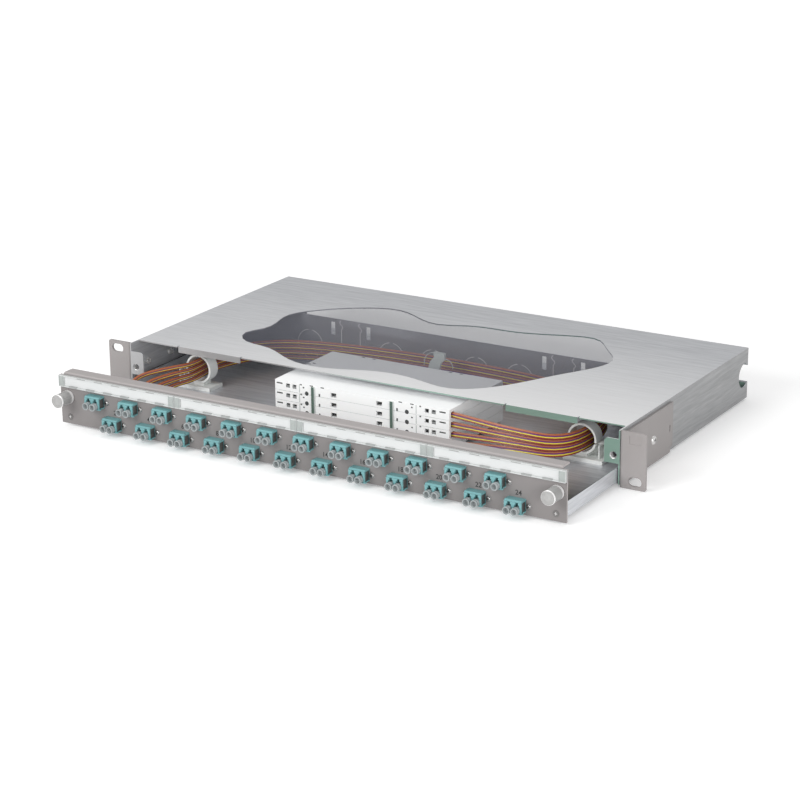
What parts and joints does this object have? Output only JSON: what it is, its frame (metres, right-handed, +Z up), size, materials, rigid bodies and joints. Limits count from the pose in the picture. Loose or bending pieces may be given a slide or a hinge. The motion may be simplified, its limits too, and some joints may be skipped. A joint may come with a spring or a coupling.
{
  "type": "fibre optic patch panel",
  "caption": "Rack-mount fibre patch panel: a low sheet-metal housing with a sliding drawer that carries rows of duplex adaptors, splice cassettes and cable rings.",
  "frame": {"origin": "middle of the panel on the front face of the rack ears, at their lower edge", "axes": "+X to the right seen from the front, +Y to the back into the rack, +Z up"},
  "size_m": [0.4826, 0.3338, 0.0436],
  "materials": {
    "zinc_sheet": "plain zinc-plated sheet with a soft grain",
    "window_tint": "smoke-tinted clear plastic",
    "panel_paint": "warm grey paint, satin, fine texture",
    "screw_steel": "nickel-plated steel",
    "screw_black": "black oxide steel",
    "glide_black": "black low-friction plastic",
    "label_clear": "clear plastic with a grey-green tint",
    "label_paper": "white paper",
    "adaptor_aqua": "aqua moulded plastic, satin",
    "cap_grey": "grey translucent soft plastic",
    "plug_beige": "beige moulded plastic",
    "cassette_white": "white moulded plastic, satin",
    "holder_grey": "light grey moulded plastic",
    "ring_white": "grey-white moulded plastic",
    "knob_steel": "nickel-plated, knurled between bright rims",
    "bundle_orange": "orange fibre coating",
    "bundle_violet": "violet fibre coating",
    "bundle_yellow": "yellow fibre coating",
    "bundle_maroon": "dark red fibre coating"
  },
  "bodies": {
    "housing": {"housing_hood": "zinc_sheet", "housing_floor": "zinc_sheet", "cover_window": "window_tint", "ear_left": "panel_paint", "ear_right": "panel_paint", "bracket_screws": "screw_steel", "bracket_nuts": "screw_steel", "drawer_glide_left": "glide_black", "drawer_glide_right": "glide_black", "thumb_nuts": "screw_steel"},
    "drawer": {"adaptor_01": "adaptor_aqua", "adaptor_02": "adaptor_aqua", "adaptor_03": "adaptor_aqua", "adaptor_04": "adaptor_aqua", "adaptor_05": "adaptor_aqua", "adaptor_06": "adaptor_aqua", "adaptor_07": "adaptor_aqua", "adaptor_08": "adaptor_aqua", "adaptor_09": "adaptor_aqua", "adaptor_10": "adaptor_aqua", "adaptor_11": "adaptor_aqua", "adaptor_12": "adaptor_aqua", "adaptor_13": "adaptor_aqua", "adaptor_14": "adaptor_aqua", "adaptor_15": "adaptor_aqua", "adaptor_16": "adaptor_aqua", "adaptor_17": "adaptor_aqua", "adaptor_18": "adaptor_aqua", "adaptor_19": "adaptor_aqua", "adaptor_20": "adaptor_aqua", "adaptor_21": "adaptor_aqua", "adaptor_22": "adaptor_aqua", "adaptor_23": "adaptor_aqua", "adaptor_24": "adaptor_aqua", "adaptor_screws": "screw_steel", "cable_ring_left": "ring_white", "cable_ring_right": "ring_white", "cassette_clips": "holder_grey", "cassette_holder": "holder_grey", "cassette_lid": "cassette_white", "drawer_tray": "zinc_sheet", "dust_caps": "cap_grey", "front_plate": "panel_paint", "label_holder_1": "label_clear", "label_holder_2": "label_clear", "label_holder_3": "label_clear", "label_holder_4": "label_clear", "label_strips": "label_paper", "pigtail_bundle_1": "bundle_orange", "pigtail_bundle_2": "bundle_violet", "pigtail_bundle_3": "bundle_yellow", "pigtail_bundle_4": "bundle_maroon", "pigtail_plugs": "plug_beige", "plate_screws": "screw_black", "splice_cassette_1": "cassette_white", "splice_cassette_2": "cassette_white", "splice_cassette_3": "cassette_white", "splice_cassette_4": "cassette_white"},
    "thumb_left": {"thumb_screw_left": "knob_steel"},
    "thumb_right": {"thumb_screw_right": "knob_steel"}
  },
  "joints": [
    {"name": "drawer_slide", "type": "slide", "parent": "housing", "child": "drawer", "axis": [0, -1, 0], "range_m": [-0.0851, 0.088]},
    {"name": "thumb_left_turn", "type": "hinge", "parent": "drawer", "child": "thumb_left", "pos_m": [-0.2149, -0.0869, 0.0237], "axis": [0, 1, 0], "continuous": true},
    {"name": "thumb_right_turn", "type": "hinge", "parent": "drawer", "child": "thumb_right", "pos_m": [0.2149, -0.0869, 0.0237], "axis": [0, 1, 0], "continuous": true}
  ]
}
